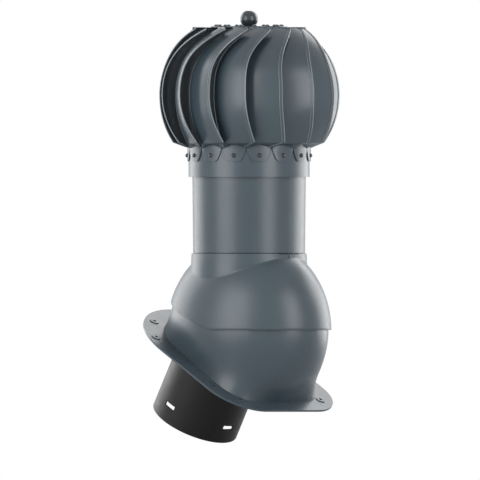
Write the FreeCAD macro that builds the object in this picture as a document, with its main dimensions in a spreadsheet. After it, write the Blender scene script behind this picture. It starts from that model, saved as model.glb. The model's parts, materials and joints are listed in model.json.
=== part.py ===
import math
import os
import re

import FreeCAD
import Part
import Sketcher
from FreeCAD import Placement, Rotation, Vector

# Roof turbine ventilator. A domed base is screwed to a sloping roof. A tilting hood on it is
# levelled, so that the insulated pipe and the wind turbine on top stand upright.
# Z is up, the roof falls towards +X, and the origin is where the duct crosses the roof.

doc = FreeCAD.newDocument("roof_turbine_ventilator")
sheet = doc.addObject("Spreadsheet::Sheet", "Sizes")

# Driving dimensions, in millimetres and degrees.
SIZES = {
    "roof_pitch": 30.0,
    # Tilting axis: how far down the slope from the duct, and how high above the roof.
    "pivot_along": 29.3,
    "pivot_height": 56.6,
    "running_gap": 0.3,
    "seat_gap": 0.1,
    # Base shell and its flange.
    "shell_wall": 2.5,
    "hood_radius": 129.5,
    "hood_side": 99.0,
    "hood_gap": 1.6,
    "base_top": 45.0,
    "base_opening": 91.0,
    "foot_round": 80.6,
    "foot_round_at": -12.6,
    "foot_side": 87.5,
    "foot_side_at": 80.0,
    "foot_end": 137.4,
    "foot_corner": 39.0,
    "flange_side": 111.8,
    "flange_side_low": 113.0,
    "flange_round_at": -9.8,
    "flange_end": 160.6,
    "flange_corner": 62.0,
    "flange_thick": 2.8,
    "flange_lip": 3.0,
    "gasket_thick": 1.2,
    "gasket_width": 9.0,
    "boss_radius": 6.8,
    "boss_height": 1.0,
    "screw_hole": 2.5,
    "ledge": 9.0,
    "ledge_thick": 2.5,
    "pivot_pin": 6.0,
    "pin_length": 16.0,
    # Duct spigot below the roof and the flexible connector above it.
    "spigot_radius": 62.5,
    "duct_wall": 2.5,
    "spigot_drop": 107.0,
    "spigot_rise": 26.0,
    "plate_low": 2.0,
    "plate_thick": 3.0,
    "slot_long": 19.0,
    "slot_tall": 6.0,
    "slot_up": 21.2,
    "slot_count": 4,
    "hose_wall": 2.2,
    "hose_foot": 12.0,
    "hose_bend": 75.0,
    "hose_top": 90.0,
    "rib_width": 3.0,
    "rib_height": 1.8,
    "rib_pitch": 9.0,
    "rib_count": 5,
    "rib_start": 6.0,
    "clamp_thick": 1.2,
    "clamp_width": 9.0,
    "clamp_above_foot": 2.0,
    "clamp_below_top": 3.0,
    # Hood sleeve and rim.
    "sleeve_top": 107.1,
    "sleeve_radius": 80.7,
    "sleeve_draft": 1.6,
    "sleeve_wall": 2.0,
    "sleeve_foot": 30.0,
    "rim_break": 19.0,
    "rim_slope": 19.0,
    "arm_thick": 3.0,
    "arm_width": 24.0,
    "arm_tall": 70.0,
    "arm_inset": 9.5,
    "notch_wide": 2.2,
    "notch_deep": 1.4,
    "notch_count": 9,
    "mark_wide": 1.6,
    "mark_tall": 7.0,
    "mark_deep": 0.4,
    # Insulated pipe.
    "pipe_top": 245.0,
    "pipe_start": 40.0,
    "pipe_radius": 79.9,
    "pipe_draft": 1.5,
    "pipe_wall": 2.5,
    "duct_below": 24.0,
    "duct_bottom": 80.5,
    "cap_thick": 2.0,
    "cap_drop": 2.0,
    "saddle_gap": 0.8,
    "foam_above": 3.0,
    # Axle and its bracket, measured from the pipe's top.
    "axle_radius": 6.0,
    "axle_bottom": -35.0,
    "axle_above": 5.0,
    "collar_wall": 3.0,
    "collar_tall": 4.0,
    "bracket_bottom": -21.0,
    "bracket_tall": 18.0,
    "bracket_band": 3.0,
    "bracket_arms": 3,
    "arm_bar": 3.0,
    "arm_setback": 2.0,
    "hub_radius": 15.0,
    "hub_above": 3.0,
    "nut_radius": 9.5,
    "nut_tall": 8.0,
    "screw_radius": 2.0,
    "head_radius": 3.8,
    "head_tall": 1.8,
    "bracket_screw": 8.0,
    # Bearings, measured from the pipe's top.
    "bearing_outer": 16.0,
    "bearing_split": 10.4,
    "bearing_fit": 0.05,
    "bearing_tall": 10.0,
    "lower_bearing": 5.5,
    "upper_bearing": 159.0,
    "spacer_wall": 2.0,
    # Turbine, with its heights measured from the pipe's top.
    "neck_gap": 3.8,
    "neck_wall": 1.2,
    "neck_bottom": -30.8,
    "neck_top": 7.7,
    "spoke_bottom": 3.7,
    "spoke_thick": 3.0,
    "spoke_width": 14.0,
    "spoke_count": 3,
    "spoke_start": 20.0,
    "vane_count": 15,
    "vane_start": 12.6,
    "vane_thick": 1.0,
    "vane_bow": 2.5,
    # Angles in degrees from a vane's rivets to its edges, at mid height and at its ends.
    "outer_middle": 12.0,
    "outer_top": 37.0,
    "outer_corner": 18.5,
    "inner_middle": -14.5,
    "inner_top": 14.5,
    "petal_half": 11.6,
    "tab_half": 11.7,
    "head_radius_max": 127.4,
    "head_middle": 84.0,
    "head_rise": 119.0,
    "head_fall": 123.2,
    "inner_radius": 106.4,
    "inner_rise": 131.4,
    "inner_fall": 130.3,
    "vane_top": 176.5,
    "vane_corner": 17.4,
    "tab_top": 179.0,
    "disc_radius": 53.2,
    "disc_thick": 1.5,
    "tab_inner": 38.0,
    "rivet_ring": 46.2,
    "rivet_radius": 1.6,
    "rivet_head": 2.9,
    "rivet_head_tall": 2.3,
    "rivet_crown": 1.74,
    "rivet_tail": 1.0,
    "neck_rivet_at": -0.7,
    "petal_bottom": -9.0,
    "petal_top": 9.0,
    "petal_shoulder": 4.0,
    "petal_round": 3.0,
    "hub_flange": 32.0,
    "hub_wall": 3.5,
    "hub_lip": 1.0,
    "hub_floor": 2.0,
    "knob_radius": 12.5,
    "knob_at": 190.2,
    "knob_flat": 0.8,
    "knob_neck": 6.875,
    "knob_stud": 4.0,
    "stud_long": 6.0,
    "stud_below": 5.0,
}

for row, (alias, number) in enumerate(SIZES.items(), start=1):
    sheet.set("A%d" % row, alias)
    sheet.set("B%d" % row, str(number))
    sheet.setAlias("B%d" % row, alias)
doc.recompute()

WORD = re.compile(r"[a-z][a-z_]+")


def bound(formula):
    """The formula with each size named as a cell of the sheet."""
    def named(found):
        word = found.group(0)
        return "Sizes." + word if word in SIZES else word

    return WORD.sub(named, formula)


def bind(item, name, formula):
    item.setExpression(name, bound(formula))


def value(formula):
    """The number that a formula of sizes gives."""
    result = sheet.evalExpression(bound(formula))
    return float(getattr(result, "Value", result))


PIVOT_X = "pivot_along * cos(roof_pitch * 1 deg) + pivot_height * sin(roof_pitch * 1 deg)"
NECK = "(pipe_radius + neck_gap + neck_wall)"
PIVOT_Z = "pivot_height * cos(roof_pitch * 1 deg) - pivot_along * sin(roof_pitch * 1 deg)"

nodes = {}


def keep(item, label):
    item.Label = label
    nodes[label] = item
    return item


def on_axis(item, turn=0.0, level="0"):
    """Stands a piece on the upright axis, at a level above the tilting axis."""
    item.Placement = Placement(Vector(0, 0, 0), Rotation(Vector(0, 0, 1), turn))
    bind(item, "Placement.Base.x", PIVOT_X)
    bind(item, "Placement.Base.z", PIVOT_Z + " + " + level)
    return item


def on_top(item, turn=0.0):
    """Stands a piece on the upright axis, at the level of the pipe's top."""
    return on_axis(item, turn, "pipe_top")


def on_roof(item):
    """Leans a piece with the roof: its own X runs down the slope."""
    item.Placement = Placement(Vector(0, 0, 0), Rotation(Vector(0, 1, 0), value("roof_pitch")))
    bind(item, "Placement.Rotation.Angle", "roof_pitch * 1 deg")
    return item


def plane_of(body, role):
    return next(part for part in body.Origin.OriginFeatures if part.Role == role)


def closed_profile(sketch, corners):
    """Draws a closed outline whose corners are pairs of formulas, each tied to the sheet."""
    spots = [Vector(value(across), value(up), 0) for across, up in corners]
    count = len(spots)
    for i in range(count):
        sketch.addGeometry(Part.LineSegment(spots[i], spots[(i + 1) % count]), False)
    for i in range(count):
        sketch.addConstraint(Sketcher.Constraint("Coincident", i, 2, (i + 1) % count, 1))
    for i, (across, up) in enumerate(corners):
        for kind, formula, size in (("DistanceX", across, spots[i].x), ("DistanceY", up, spots[i].y)):
            which = sketch.addConstraint(Sketcher.Constraint(kind, -1, 1, i, 1, size))
            bind(sketch, "Constraints[%d]" % which, formula)


def turned(label, corners, kept=True):
    """A piece turned about the upright axis from a closed outline of (radius, height)."""
    body = doc.addObject("PartDesign::Body", label)
    sketch = body.newObject("Sketcher::SketchObject", label + "_outline")
    sketch.AttachmentSupport = [(plane_of(body, "XZ_Plane"), "")]
    sketch.MapMode = "FlatFace"
    closed_profile(sketch, corners)
    spin = body.newObject("PartDesign::Revolution", label + "_turn")
    spin.Profile = sketch
    spin.ReferenceAxis = (sketch, ["V_Axis"])
    spin.Angle = 360.0
    body.Tip = spin
    return keep(body, label) if kept else body


def ring_piece(label, inner, outer, low, high, kept=True):
    return turned(label, [(inner, low), (outer, low), (outer, high), (inner, high)], kept)


def primitive(kind, label, sizes):
    item = doc.addObject("Part::" + kind, label)
    for name, formula in sizes.items():
        bind(item, name, formula)
    return item


def cylinder(label, radius, tall, x="0", y="0", z="0"):
    item = primitive("Cylinder", label, {"Radius": radius, "Height": tall})
    for name, formula in (("x", x), ("y", y), ("z", z)):
        bind(item, "Placement.Base." + name, formula)
    return item


def block(label, long, wide, tall, x, y, z):
    item = primitive("Box", label, {"Length": long, "Width": wide, "Height": tall})
    for name, formula in (("x", x), ("y", y), ("z", z)):
        bind(item, "Placement.Base." + name, formula)
    return item


def joined(label, pieces):
    item = doc.addObject("Part::MultiFuse", label)
    item.Shapes = pieces
    return item


def less(label, base, tool):
    item = doc.addObject("Part::Cut", label)
    item.Base = base
    item.Tool = tool
    return item


def spheroid(label, radius, side):
    """A barrel turned about the tilting axis: round in X and Z, and half as wide as side in Y."""
    item = primitive("Ellipsoid", label, {"Radius1": radius, "Radius2": radius, "Radius3": side})
    item.Angle1 = -90.0
    item.Angle2 = 90.0
    item.Angle3 = 360.0
    return item


def feature(label, shape):
    item = doc.addObject("Part::Feature", label)
    item.Shape = shape
    return item


# Flange and foot outlines, drawn in the plane of the roof.

def flange_face(inset=0.0):
    """The flange's outline: half round up the slope, and down it a little wider with round corners."""
    round_at = value("flange_round_at")
    half = value("flange_side") - inset
    wide = value("flange_side_low") - inset
    far = value("flange_end") - inset
    bend = value("flange_corner") - inset
    lean = math.radians(45.0)
    near = [
        Vector(round_at, -half, 0),
        Vector(far - bend, -wide, 0),
        Vector(far - bend + bend * math.sin(lean), -wide + bend - bend * math.cos(lean), 0),
        Vector(far, -wide + bend, 0),
    ]
    return mirrored_face(Vector(round_at - half, 0, 0), near)


def mirrored_face(tip, near):
    """A face from its round tip and one side: straight to a corner's start, round it, and straight across."""
    def across(point):
        return Vector(point.x, -point.y, 0)

    start, *straight, corner, end = near
    edges = [Part.Arc(across(start), tip, start).toShape()]
    for before, after in zip([start] + straight, straight):
        edges.append(Part.LineSegment(before, after).toShape())
    edges.append(Part.Arc(straight[-1], corner, end).toShape())
    edges.append(Part.LineSegment(end, across(end)).toShape())
    edges.append(Part.Arc(across(end), across(corner), across(straight[-1])).toShape())
    back = list(reversed([start] + straight))
    for before, after in zip(back, back[1:]):
        edges.append(Part.LineSegment(across(before), across(after)).toShape())
    return Part.Face(Part.Wire(edges))


def raised(face, low, high):
    flat = face.copy()
    flat.translate(Vector(0, 0, low))
    return flat.extrude(Vector(0, 0, high - low))


def foot_face(inset):
    """The foot of the domed wall: its round end up the slope, its sides widening down it."""
    round_at = value("foot_round_at")
    small = value("foot_round") - inset
    half = value("foot_side") - inset
    wide_at = value("foot_side_at")
    far = value("foot_end") - inset
    bend = value("foot_corner") - inset
    lean = math.radians(45.0)
    near = [
        Vector(round_at, -small, 0),
        Vector(wide_at, -half, 0),
        Vector(far - bend, -half, 0),
        Vector(far - bend + bend * math.sin(lean), -half + bend - bend * math.cos(lean), 0),
        Vector(far, -half + bend, 0),
    ]
    return mirrored_face(Vector(round_at - small, 0, 0), near)


def reach(face, centre, angle):
    """How far the outline of a flat face lies from a point inside it, in one direction."""
    far = value("hood_radius") * 4
    ray = Part.LineSegment(centre, centre + Vector(far * math.cos(angle), far * math.sin(angle), 0)).toShape()
    hit = ray.common(face)
    return hit.Length


def domed_wall(inset):
    """The room inside the base wall: from the foot up to the barrel about the tilting axis."""
    centre = Vector(value("pivot_along"), 0, 0)
    tall = value("pivot_height")
    long = value("hood_radius - shell_wall - hood_gap") - inset
    side = value("hood_side - shell_wall - hood_gap") - inset
    foot = foot_face(inset)
    steps = 20
    angles = [2.0 * math.pi * i / steps for i in range(steps)]
    feet = [reach(foot, centre, angle) for angle in angles]
    below = [tall * share for share in (0.0, 0.12, 0.35, 0.65, 1.0)]
    above = [tall + long * share for share in (0.22, 0.44, 0.64, 0.8, 0.87)]
    sections = []
    for high in below + above:
        narrowing = math.sqrt(1 - ((high - tall) / long) ** 2)
        blend = max(1.0 - high / tall, 0.0) ** 1.5
        spots = []
        for angle, low in zip(angles, feet):
            top = 1.0 / math.hypot(math.cos(angle) / long, math.sin(angle) / side)
            out = top * narrowing * (1 - blend) + low * blend
            spots.append(centre + Vector(out * math.cos(angle), out * math.sin(angle), high))
        curve = Part.BSplineCurve()
        curve.interpolate(Points=spots, PeriodicFlag=True)
        sections.append(Part.Wire([curve.toShape()]))
    return Part.makeLoft(sections, True, False)


def slice_of(solid, low, high):
    """What lies of a solid between two heights above the roof."""
    wide = value("hood_radius") * 8
    return solid.common(Part.makeBox(wide, wide, high - low, Vector(-wide / 2, -wide / 2, low)))


# Screw places on the flange, as (along the slope, to each side).
SCREW_PLACES = [(-88.0, 59.0), (-43.8, 93.8), (19.5, 99.8), (85.8, 98.6), (131.6, 79.5)]

# Plate screws hold the spigot's plate up to the ledge, as (along the slope, to each side).
PLATE_PLACES = [(-63.0, 50.4), (118.4, 68.0)]


def mirrored_holes(places, radius, low, high):
    """Upright cylinders at each place and its mirror place across the slope."""
    return [Part.makeCylinder(radius, high - low, Vector(along, way * side, low))
            for along, side in places for way in (-1, 1)]


def base_shell():
    wall = value("shell_wall")
    thick = value("flange_thick")
    boss_top = thick + value("boss_height")
    bosses = mirrored_holes(SCREW_PLACES, value("boss_radius"), thick, boss_top)
    body = domed_wall(0.0).fuse([raised(flange_face(), 0.0, thick)] + bosses)
    ledge_low = value("plate_low + plate_thick")
    ledge_high = ledge_low + value("ledge_thick")
    room = domed_wall(wall)
    ledge = slice_of(room, ledge_low, ledge_high).cut(
        raised(foot_face(wall + value("ledge")), ledge_low, ledge_high))
    body = body.cut(room.cut(ledge))
    seal_room = raised(flange_face(value("flange_lip")), 0.0, value("gasket_thick"))
    body = body.cut(seal_room.cut(raised(foot_face(-value("gasket_width")), 0, boss_top)))
    body = body.cut(mirrored_holes(SCREW_PLACES, value("screw_hole"), -1, boss_top + 1))
    pilot = value("screw_radius + bearing_fit")
    body = body.cut(mirrored_holes(PLATE_PLACES, pilot, ledge_low - 1, ledge_high + 1))
    # The top is open for the pipe, with a lobe left up the slope and one down it.
    pivot = Vector(value("pivot_along"), 0, value("pivot_height"))
    half = value("base_opening")
    long = value("hood_radius") * 2
    opening = Part.makeBox(2 * half, 2 * long, long, Vector(-half, -long, value("base_top")))
    opening.rotate(Vector(0, 0, 0), Vector(0, 1, 0), -value("roof_pitch"))
    opening.translate(pivot)
    body = body.cut(opening)
    side = value("hood_side - shell_wall - hood_gap - shell_wall * 2 / 3")
    for way in (-1, 1):
        foot = pivot + Vector(0, way * side, 0)
        body = body.fuse(Part.makeCylinder(value("pivot_pin"), value("pin_length"), foot, Vector(0, -way, 0)))
    return body


base = keep(feature("base_shell", base_shell()), "base_shell")
on_roof(base)


def flange_gasket():
    thick = value("gasket_thick")
    gasket = raised(flange_face(value("flange_lip + seat_gap")), 0.0, thick)
    gasket = gasket.cut(raised(foot_face(-value("gasket_width + seat_gap")), -1, thick + 1))
    return gasket.cut(mirrored_holes(SCREW_PLACES, value("screw_hole + running_gap"), -1, thick + 1))


on_roof(keep(feature("flange_gasket", flange_gasket()), "flange_gasket"))


def duct_spigot():
    """A slotted tube on the plate that closes the base from below."""
    radius = value("spigot_radius")
    bore = radius - value("duct_wall")
    drop = value("spigot_drop")
    long = drop + value("spigot_rise")
    low = value("plate_low")
    plate = slice_of(domed_wall(value("shell_wall + running_gap")), low, low + value("plate_thick"))
    tube = Part.makeCylinder(radius, long, Vector(0, 0, -drop))
    body = plate.fuse(tube).cut(Part.makeCylinder(bore, long + 2, Vector(0, 0, -drop - 1)))
    count = int(value("slot_count"))
    for i in range(count):
        slot = Part.makeBox(radius, value("slot_long"), value("slot_tall"),
                            Vector(radius / 2, -value("slot_long") / 2, value("slot_up") - drop))
        slot.rotate(Vector(0, 0, 0), Vector(0, 0, 1), 360.0 * i / count)
        body = body.cut(slot)
    hole = value("screw_radius + bearing_fit")
    return body.cut(mirrored_holes(PLATE_PLACES, hole, 0, low + value("ledge")))


on_roof(keep(feature("duct_spigot", duct_spigot()), "duct_spigot"))


def plate_screws():
    """Pan-head screws up through the plate and into the ledge."""
    low = value("plate_low")
    high = low + value("plate_thick + ledge_thick")
    heads = mirrored_holes(PLATE_PLACES, value("head_radius"), low - value("head_tall"), low)
    shanks = mirrored_holes(PLATE_PLACES, value("screw_radius"), low, high)
    return Part.makeCompound([head.fuse(shank) for head, shank in zip(heads, shanks)])


on_roof(keep(feature("plate_screws", plate_screws()), "plate_screws"))


def hose_solid(radius):
    """The room that the connector fills at one radius: straight, bent upright, and straight."""
    pitch = math.radians(value("roof_pitch"))
    low = value("hose_foot")
    pivot_x = value(PIVOT_X)
    pivot_z = value(PIVOT_Z)
    meet = pivot_x / math.sin(pitch)
    tangent = value("hose_bend") * math.tan(pitch / 2)
    axis = Vector(math.sin(pitch), 0, math.cos(pitch))
    straight = Part.makeCylinder(radius, meet - tangent - low, axis * low, axis)
    bend_start = axis * (meet - tangent)
    centre = bend_start + Vector(-math.cos(pitch), 0, math.sin(pitch)) * value("hose_bend")
    ring = Part.Face(Part.Wire([Part.Circle(bend_start, axis, radius).toShape()]))
    bend = ring.revolve(centre, Vector(0, -1, 0), value("roof_pitch"))
    top = meet * math.cos(pitch) + tangent
    upper = Part.makeCylinder(radius, pivot_z + value("hose_top") - top, Vector(pivot_x, 0, top))
    return straight, bend, upper, axis


def flexible_connector():
    inner = value("spigot_radius + seat_gap")
    outer = inner + value("hose_wall")
    straight, bend, upper, axis = hose_solid(outer)
    body = straight.fuse([bend, upper])
    first = value("hose_foot + clamp_width + rib_start")
    step = value("rib_pitch")
    crest = outer + value("rib_height")
    for i in range(int(value("rib_count"))):
        foot = axis * (first + i * step)
        body = body.fuse(Part.makeCylinder(crest, value("rib_width"), foot, axis))
    hollow = hose_solid(inner)
    return body.cut(hollow[0].fuse([hollow[1], hollow[2]]))


keep(feature("flexible_connector", flexible_connector()), "flexible_connector")

clamp_in = "spigot_radius + seat_gap + hose_wall + seat_gap"
lower_clamp = ring_piece("hose_clamp_lower", clamp_in, clamp_in + " + clamp_thick",
                         "hose_foot + clamp_above_foot", "hose_foot + clamp_above_foot + clamp_width")
on_roof(lower_clamp)
upper_clamp = ring_piece("hose_clamp_upper", clamp_in, clamp_in + " + clamp_thick",
                         "hose_top - clamp_below_top - clamp_width", "hose_top - clamp_below_top")
on_axis(upper_clamp)

# Hood: a barrel about the tilting axis with an upright sleeve, cut away up the slope.
hood_outer = spheroid("hood_outer", "hood_radius", "hood_side")
hood_inner = spheroid("hood_inner", "hood_radius - shell_wall", "hood_side - shell_wall")
sleeve = primitive("Cone", "sleeve_body", {
    "Radius1": "sleeve_radius + sleeve_draft * 2", "Radius2": "sleeve_radius",
    "Height": "sleeve_top - sleeve_foot"})
bind(sleeve, "Placement.Base.z", "sleeve_foot")
sleeve_bore = cylinder("sleeve_bore", "sleeve_radius - sleeve_wall", "hood_radius * 2", z="0")


def sleeve_notches():
    """A short row of notches in the sleeve's top edge, and a level mark under them."""
    top = value("sleeve_top")
    radius = value("sleeve_radius")
    wide = value("notch_wide")
    count = int(value("notch_count"))
    deep = value("notch_deep")
    line = value("mark_wide")
    tall = value("mark_tall")
    mark = Part.makeBox(radius, line, tall, Vector(radius - value("mark_deep"), -line / 2, top - tall * 1.5))
    tools = [mark]
    step = math.degrees(2 * wide / radius)
    for i in range(count):
        notch = Part.makeBox(radius, wide, deep * 2, Vector(radius / 2, -wide / 2, top - deep))
        notch.rotate(Vector(0, 0, 0), Vector(0, 0, 1), (i - (count - 1) / 2) * step)
        tools.append(notch)
    return Part.makeCompound(tools)


hood_shell = less("hood_walls", joined("hood_mass", [hood_outer, sleeve]),
                  joined("hood_room", [hood_inner, sleeve_bore, feature("sleeve_notches", sleeve_notches())]))


def rim_tool():
    """What lies under the hood's rim: level down the slope and rising up it."""
    far = value("hood_radius") * 2
    start = value("rim_break")
    rise = (far + start) * math.tan(math.radians(value("rim_slope")))
    outline = [Vector(far, -far, 0), Vector(start, -far, 0), Vector(-far, -far, rise),
               Vector(-far, -far, -far), Vector(far, -far, -far), Vector(far, -far, 0)]
    prism = Part.Face(Part.makePolygon(outline)).extrude(Vector(0, 2 * far, 0))
    bends = [edge for edge in prism.Edges
             if abs(edge.CenterOfMass.x - start) < 0.01 and abs(edge.CenterOfMass.z) < 0.01]
    return prism.makeFillet(value("rim_break") * 2, bends)


hood = keep(less("hood", hood_shell, feature("under_rim", rim_tool())), "hood")
on_axis(hood)

# Pivot arms hang from the sleeve's foot inside the base and clip over its two inward pins.
arm_out = "hood_side - 2 * shell_wall - hood_gap - arm_inset"
for side_name, way in (("left", -1), ("right", 1)):
    low_y = "-(" + arm_out + ")" if way < 0 else arm_out + " - arm_thick"
    bar = block("arm_bar_" + side_name, "arm_width", "arm_thick", "arm_tall", "-arm_width / 2", low_y, "0")
    eye = cylinder("arm_eye_" + side_name, "arm_width / 2", "arm_thick")
    hole = cylinder("arm_hole_" + side_name, "pivot_pin + bearing_fit", "arm_thick * 3")
    for item, start in ((eye, low_y), (hole, low_y + " - arm_thick")):
        item.Placement = Placement(Vector(0, 0, 0), Rotation(Vector(1, 0, 0), -90))
        bind(item, "Placement.Base.y", start)
        bind(item, "Placement.Base.z", "0")
    blank = joined("arm_blank_" + side_name, [bar, eye])
    drilled = less("arm_drilled_" + side_name, blank, hole)
    fitted = doc.addObject("Part::Common", "pivot_arm_" + side_name)
    fitted.Base = drilled
    fitted.Tool = spheroid("arm_limit_" + side_name, "hood_radius - shell_wall - seat_gap",
                           "hood_side - shell_wall - seat_gap")
    on_axis(keep(fitted, "pivot_arm_" + side_name))

# Insulated pipe. Its lower end is saddle-cut, to clear the base as the hood tilts.
saddle_radius = "hood_radius - shell_wall - saddle_gap"
saddle_side = "hood_side - shell_wall - saddle_gap"


def saddle_cut(label, blank):
    item = less(label, blank, spheroid(label + "_saddle", saddle_radius, saddle_side))
    return on_axis(keep(item, label))


pipe_low = "pipe_radius - pipe_draft"
saddle_cut("outer_pipe", turned("outer_pipe_blank", [
    (pipe_low + " - pipe_wall", "pipe_start"), (pipe_low, "pipe_start"), (pipe_low, "sleeve_top"),
    ("pipe_radius", "pipe_top"), ("pipe_radius - pipe_wall", "pipe_top"),
    (pipe_low + " - pipe_wall", "sleeve_top")], kept=False))
foam_out = pipe_low + " - pipe_wall - running_gap"
duct_top = "pipe_top - duct_below"
foam_top = duct_top + " - cap_thick - cap_drop"
saddle_cut("insulation", ring_piece(
    "insulation_blank", "spigot_radius + running_gap", foam_out, "hose_top + foam_above", foam_top,
    kept=False))
on_axis(ring_piece("inner_duct", "spigot_radius - duct_wall", "spigot_radius", "duct_bottom", duct_top))
on_axis(ring_piece("pipe_cap", "spigot_radius + seat_gap", foam_out, foam_top, duct_top + " - cap_drop"))


def tube_of(inner, outer, low, high):
    """A plain ring about the upright axis."""
    solid = Part.makeCylinder(outer, high - low, Vector(0, 0, low))
    return solid.cut(Part.makeCylinder(inner, high - low, Vector(0, 0, low)))


def axle_bracket():
    """A band inside the pipe's mouth, three flat arms, and the hub that holds the axle."""
    low = value("bracket_bottom")
    tall = value("bracket_tall")
    outer = value("pipe_radius - pipe_draft - pipe_wall")
    band = tube_of(outer - value("bracket_band"), outer, low, low + tall)
    hub_tall = tall + value("hub_above")
    body = band.fuse(Part.makeCylinder(value("hub_radius"), hub_tall, Vector(0, 0, low)))
    count = int(value("bracket_arms"))
    bar = value("arm_bar")
    back = value("arm_setback")
    for i in range(count):
        arm = Part.makeBox(outer - 1, bar, tall - 2 * back, Vector(0, -bar / 2, low + back))
        arm.rotate(Vector(0, 0, 0), Vector(0, 0, 1), 360.0 * i / count + 90)
        body = body.fuse(arm)
    bore = value("axle_radius + bearing_fit")
    body = body.cut(Part.makeCylinder(bore, hub_tall + 2, Vector(0, 0, low - 1)))
    for i in range(count):
        hole = Part.makeCylinder(value("screw_radius + seat_gap"), tall,
                                 Vector(outer - tall / 2, 0, low + tall / 2), Vector(1, 0, 0))
        hole.rotate(Vector(0, 0, 0), Vector(0, 0, 1), 360.0 * i / count + 30)
        body = body.cut(hole)
    return body


on_top(keep(feature("axle_bracket", axle_bracket()), "axle_bracket"))


def bracket_screws(grow=0.0):
    """Screws through the pipe's wall into the bracket's band."""
    outer = value("pipe_radius")
    up = value("bracket_bottom") + value("bracket_tall") / 2
    count = int(value("bracket_arms"))
    long = value("bracket_screw")
    out = Vector(1, 0, 0)
    screws = []
    for i in range(count):
        shank = Part.makeCylinder(value("screw_radius") + grow, long, Vector(outer - long, 0, up), out)
        head = Part.makeCylinder(value("head_radius") + grow, value("head_tall"), Vector(outer, 0, up), out)
        screw = shank.fuse(head)
        screw.rotate(Vector(0, 0, 0), Vector(0, 0, 1), 360.0 * i / count + 30)
        screws.append(screw)
    return Part.makeCompound(screws)


on_top(keep(feature("bracket_screws", bracket_screws()), "bracket_screws"))
pipe_whole = nodes.pop("outer_pipe")
pipe_whole.Label = "outer_pipe_plain"
screw_room = on_top(feature("screw_room", bracket_screws(grow=value("seat_gap"))))
keep(less("outer_pipe_drilled", pipe_whole, screw_room), "outer_pipe")

# Axle, from its nut under the bracket to the top bearing.
upper_top = "upper_bearing + bearing_tall"
axle = cylinder("axle_rod", "axle_radius", upper_top + " + axle_above - axle_bottom")
on_axis(keep(axle, "axle"), level="pipe_top + axle_bottom")
ring_in = "axle_radius + bearing_fit"
on_top(ring_piece("lower_inner_race", ring_in, "bearing_split - bearing_fit",
                   "lower_bearing", "lower_bearing + bearing_tall"))
on_top(ring_piece("upper_inner_race", ring_in, "bearing_split - bearing_fit", "upper_bearing", upper_top))
on_top(ring_piece("axle_spacer", ring_in, ring_in + " + spacer_wall",
                   "lower_bearing + bearing_tall", "upper_bearing"))
on_top(ring_piece("lower_spacer", ring_in, ring_in + " + spacer_wall",
                   "bracket_bottom + bracket_tall + hub_above", "lower_bearing"))


def hex_nut(low, label):
    """A hexagon nut on the axle, with a plain hole that clears it."""
    radius = value("nut_radius")
    turns = [math.radians(60.0 * i) for i in range(7)]
    spots = [Vector(radius * math.cos(turn), radius * math.sin(turn), low) for turn in turns]
    nut = Part.Face(Part.makePolygon(spots)).extrude(Vector(0, 0, value("nut_tall")))
    nut = nut.cut(Part.makeCylinder(value(ring_in), value("nut_tall") + 2, Vector(0, 0, low - 1)))
    return on_top(keep(feature(label, nut), label))


hex_nut(value("bracket_bottom - nut_tall"), "axle_nut")
on_top(ring_piece("axle_collar", ring_in, "axle_radius + collar_wall", upper_top,
                  upper_top + " + collar_tall"))

# Turbine: races, hubs, neck ring, crown disc, vanes, rivets and knob.
on_top(ring_piece("lower_outer_race", "bearing_split", "bearing_outer",
                   "lower_bearing", "lower_bearing + bearing_tall"))
on_top(ring_piece("upper_outer_race", "bearing_split", "bearing_outer", "upper_bearing", upper_top))

hub_bore = "bearing_outer + bearing_fit"


def spoke_hub():
    """A cup around the lower bearing with three flat spokes out to the neck ring."""
    low = value("spoke_bottom")
    top = value("lower_bearing + bearing_tall + hub_lip")
    bore = value(hub_bore)
    body = Part.makeCylinder(bore + value("hub_wall"), top - low, Vector(0, 0, low))
    reach_out = value(NECK + " - neck_wall - seat_gap")
    wide = value("spoke_width")
    limit = Part.makeCylinder(reach_out, value("spoke_thick"), Vector(0, 0, low))
    count = int(value("spoke_count"))
    for i in range(count):
        spoke = Part.makeBox(reach_out + 5, wide, value("spoke_thick"), Vector(0, -wide / 2, low))
        spoke.rotate(Vector(0, 0, 0), Vector(0, 0, 1), 360.0 * i / count + value("spoke_start"))
        body = body.fuse(spoke.common(limit))
    body = body.cut(Part.makeCylinder(bore, top, Vector(0, 0, value("lower_bearing"))))
    return body.cut(Part.makeCylinder(value("bearing_split + hub_lip"), top, Vector(0, 0, low - 1)))


on_top(keep(feature("spoke_hub", spoke_hub()), "spoke_hub"))

hub_out = hub_bore + " + hub_wall"
under_tab = "tab_top - vane_thick"
floor = "upper_bearing - hub_floor"
flange_low = under_tab + " - hub_floor"
on_top(turned("top_hub", [
    ("bearing_split + hub_lip", floor), (hub_out, floor), (hub_out, flange_low), ("hub_flange", flange_low),
    ("hub_flange", under_tab), (hub_bore, under_tab), (hub_bore, "upper_bearing"),
    ("bearing_split + hub_lip", "upper_bearing")]))


def crown_disc():
    """The disc over the vanes' top tabs, with a hole for each rivet and one for the knob."""
    low = value("tab_top")
    thick = value("disc_thick")
    disc = Part.makeCylinder(value("disc_radius"), thick, Vector(0, 0, low))
    holes = [Part.makeCylinder(value("knob_stud + seat_gap"), thick + 2, Vector(0, 0, low - 1))]
    for angle in vane_angles():
        hole = Part.makeCylinder(value("rivet_radius + bearing_fit"), thick + 2,
                                 Vector(value("rivet_ring"), 0, low - 1))
        hole.rotate(Vector(0, 0, 0), Vector(0, 0, 1), angle)
        holes.append(hole)
    return disc.cut(Part.makeCompound(holes))


def vane_angles():
    count = int(value("vane_count"))
    return [value("vane_start") + 360.0 * i / count for i in range(count)]


def polar(radius, angle, z):
    turn = math.radians(angle)
    return Vector(radius * math.cos(turn), radius * math.sin(turn), z)


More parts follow.
